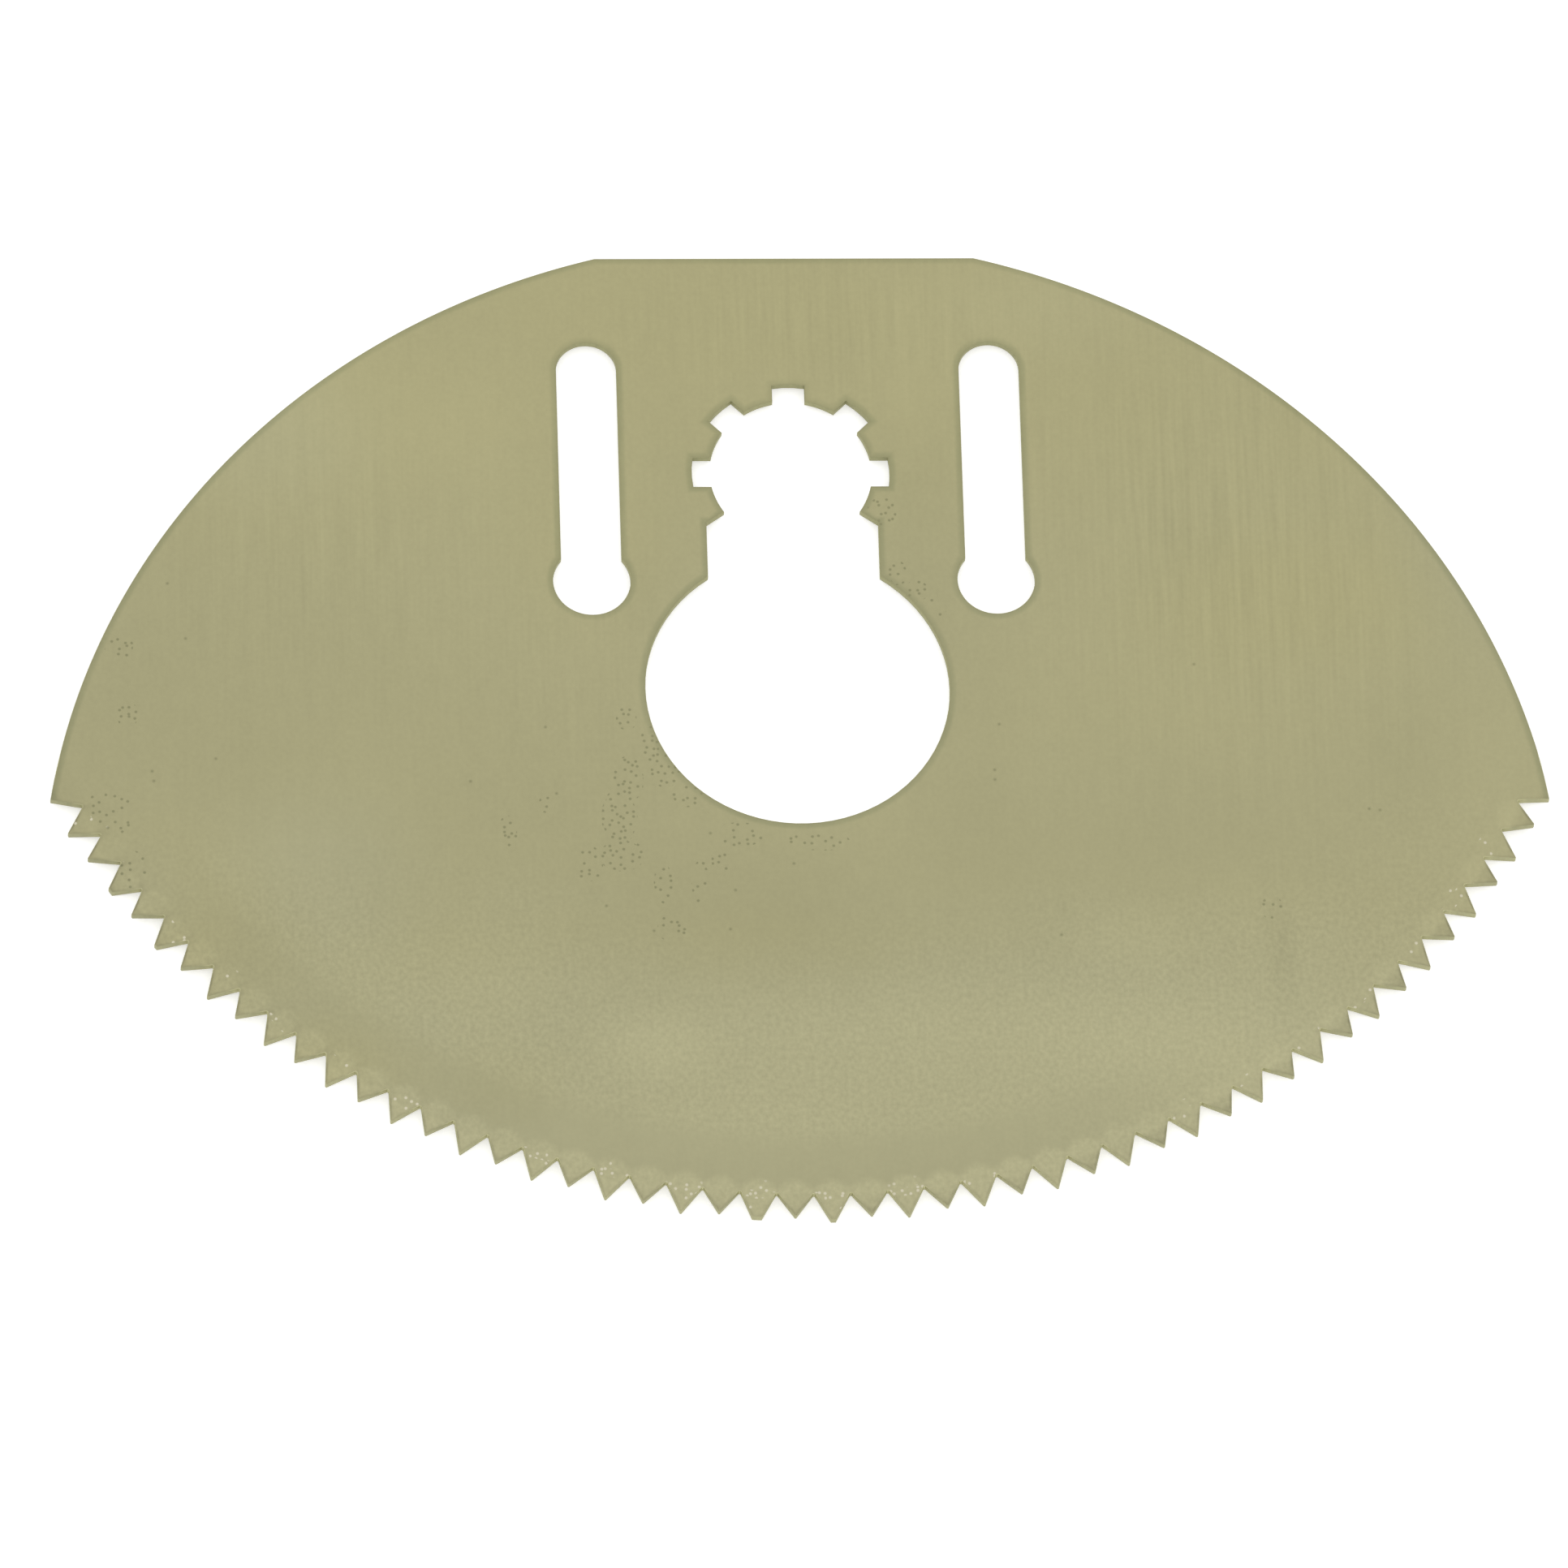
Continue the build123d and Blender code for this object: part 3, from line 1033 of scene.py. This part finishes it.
def edge_steel(sizes, finish):
    """Sheared edge: darker, partly as painted shade of its walls, rougher, with fine marks across the
    thickness.

    It is brighter on the ground flanks of the teeth, with painted light on those of the odd teeth,
    and most of all in the gullets, where painted light lifts their shade.
    """
    material, tree, shader = new_material("blade_edge_steel")
    coordinates = Output(add_node(tree, "TexCoord").outputs["Object"])
    stretched = vector("MULTIPLY", coordinates, (4 / MM, 4 / MM, 0.7 / MM))
    made = add_node(tree, "TexNoise", {"Vector": stretched, "Scale": 1.0, "Detail": 3.0})
    marks = Output(made.outputs["Fac"])

    at = steel_places(tree, sizes)
    on_teeth = ramp(at.radius, at.gullet - 0.4, at.gullet - 0.1)
    in_gullet = ramp(at.radius, at.gullet + 0.1, at.gullet + 0.8, 1.0, 0.0)
    # Painted light in the gullets and on the odd teeth's walls; the walls are darker at the -X end
    lift = in_gullet * finish.painted_gullet_light + at.odd * 0.07 + ramp(at.x, -36.0, -44.0, 0.0, -0.1)
    tone = marks * 0.3 + 0.85 + lift * on_teeth

    steel = toned(mix_colour(on_teeth, finish.edge_steel, finish.ground_steel), tone)
    roughness = marks * 0.1 + (finish.edge_roughness - 0.05)
    feed(shader, {"Metallic": 1.0, "Base Color": steel, "Roughness": roughness, "Normal": bumped(marks, 0.3)})
    return material


# Stage

WHITE = (1.0, 1.0, 1.0, 1.0)


def seen_directly(tree):
    """One for the rays that see the background straight, in a reflection or through glass."""
    path = add_node(tree, "LightPath").outputs
    rays = [Output(path[f"Is {kind} Ray"]) for kind in ("Camera", "Glossy", "Transmission")]
    return total(rays, "MAXIMUM")


def white_surroundings(stage):
    """White world: strength one where it is seen, and the sky level where it lights."""
    world = bpy.data.worlds.new("white_surroundings")
    world.use_nodes = True
    strength = seen_directly(world.node_tree) * (1.0 - stage.sky_level) + stage.sky_level
    feed(world.node_tree.nodes["Background"], {"Color": WHITE, "Strength": strength})
    bpy.context.scene.world = world


def white_floor(stage, level):
    """Flat white floor at the level that the blade lies on."""
    half = stage.floor_size / 2
    corners = np.array([(x * half, y * half, level) for x, y in ((-1, -1), (1, -1), (1, 1), (-1, 1))])
    material, tree, shader = new_material("white_floor")
    feed(shader, {"Base Color": (0.9, 0.9, 0.9, 1.0), "Roughness": 0.9, "Specular IOR Level": 0.0})
    # Brought up to white where it is seen, so that only the contact shadow is left on it
    feed(shader, {"Emission Color": WHITE, "Emission Strength": seen_directly(tree) * stage.floor_glow})
    floor = mesh_object("floor", corners, [(0, 1, 2, 3)], [material])
    floor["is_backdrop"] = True


def soft_lamp(name, place, size, power):
    """Square area lamp that looks at the blade."""
    data = bpy.data.lights.new(name, "AREA")
    data.shape = "SQUARE"
    data.size = size
    data.energy = power
    lamp = bpy.data.objects.new(name, data)
    lamp.location = place
    lamp.rotation_mode = "QUATERNION"
    lamp.rotation_quaternion = (-Vector(place)).to_track_quat("-Z", "Y")
    bpy.context.scene.collection.objects.link(lamp)


def still_camera(stage):
    """Camera on a sphere round the aim point, turned to it and then rolled about its view."""
    turn, rise = stage.azimuth, stage.elevation
    back = Vector((math.sin(turn) * math.cos(rise), -math.cos(turn) * math.cos(rise), math.sin(rise)))
    data = bpy.data.cameras.new("still_camera")
    data.sensor_width = stage.sensor
    data.lens = stage.lens
    data.clip_end = 4 * stage.distance
    camera = bpy.data.objects.new("still_camera", data)
    facing = (-back).to_track_quat("-Z", "Y") @ Quaternion((0.0, 0.0, 1.0), stage.roll)
    camera.matrix_world = Matrix.Translation(AIM + back * stage.distance) @ facing.to_matrix().to_4x4()
    bpy.context.scene.collection.objects.link(camera)
    bpy.context.scene.camera = camera


# Operators and panel


class SAWBLADE_OT_sheet(Operator):
    """Make the blade's sheet, with its teeth, keyhole and slots"""

    bl_idname = "sawblade.sheet"
    bl_label = "Blade Sheet"

    def execute(self, context):
        sizes, finish = context.scene.blade_sizes, context.scene.blade_finish
        piece = blade_sheet(sizes, [face_steel(sizes, finish), edge_steel(sizes, finish)])
        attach(piece, BODY)
        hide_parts(NODE)
        return {"FINISHED"}


class SAWBLADE_OT_stage(Operator):
    """Make the floor, the white surroundings, the lamps and the camera"""

    bl_idname = "sawblade.stage"
    bl_label = "Stage"

    def execute(self, context):
        stage = context.scene.blade_stage
        white_surroundings(stage)
        white_floor(stage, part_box(NODE)[0].z)
        soft_lamp("key_lamp", KEY_PLACE, KEY_SIDE, stage.key_power)
        soft_lamp("fill_lamp", FILL_PLACE, FILL_SIDE, stage.fill_power)
        still_camera(stage)
        context.scene.view_settings.view_transform = "Standard"
        return {"FINISHED"}


class SAWBLADE_PT_panel(Panel):
    """Sizes, finish and stage of the cast saw blade"""

    bl_label = "Cast Saw Blade"
    bl_space_type = "VIEW_3D"
    bl_region_type = "UI"
    bl_category = "Saw Blade"

    def draw(self, context):
        for group, operator in (
            (context.scene.blade_sizes, SAWBLADE_OT_sheet),
            (context.scene.blade_finish, None),
            (context.scene.blade_stage, SAWBLADE_OT_stage),
        ):
            box = self.layout.box()
            for name in group.bl_rna.properties.keys():
                if name not in ("rna_type", "name"):
                    box.prop(group, name)
            if operator:
                box.operator(operator.bl_idname)


CLASSES = (BladeSizes, BladeFinish, StageSetup, SAWBLADE_OT_sheet, SAWBLADE_OT_stage, SAWBLADE_PT_panel)


def register():
    for cls in CLASSES:
        bpy.utils.register_class(cls)
    bpy.types.Scene.blade_sizes = PointerProperty(type=BladeSizes)
    bpy.types.Scene.blade_finish = PointerProperty(type=BladeFinish)
    bpy.types.Scene.blade_stage = PointerProperty(type=StageSetup)


def unregister():
    del bpy.types.Scene.blade_stage
    del bpy.types.Scene.blade_finish
    del bpy.types.Scene.blade_sizes
    for cls in reversed(CLASSES):
        bpy.utils.unregister_class(cls)


def write_sizes():
    """Compare the CAD box with the finished object's box, and stop where they are apart."""
    made = {
        "cad": [list(corner) for corner in cad_box],
        "visual": [list(corner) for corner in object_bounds()],
    }
    apart = np.abs(np.subtract(made["cad"], made["visual"])).max()
    if apart > SIZE_TOLERANCE:
        raise RuntimeError(f"the finished blade's box is {apart / MM:.2f} mm away from the CAD box")


def main():
    register()
    bpy.ops.sawblade.sheet()
    bpy.ops.sawblade.stage()
    write_sizes()


if __name__ == "__main__":
    main()
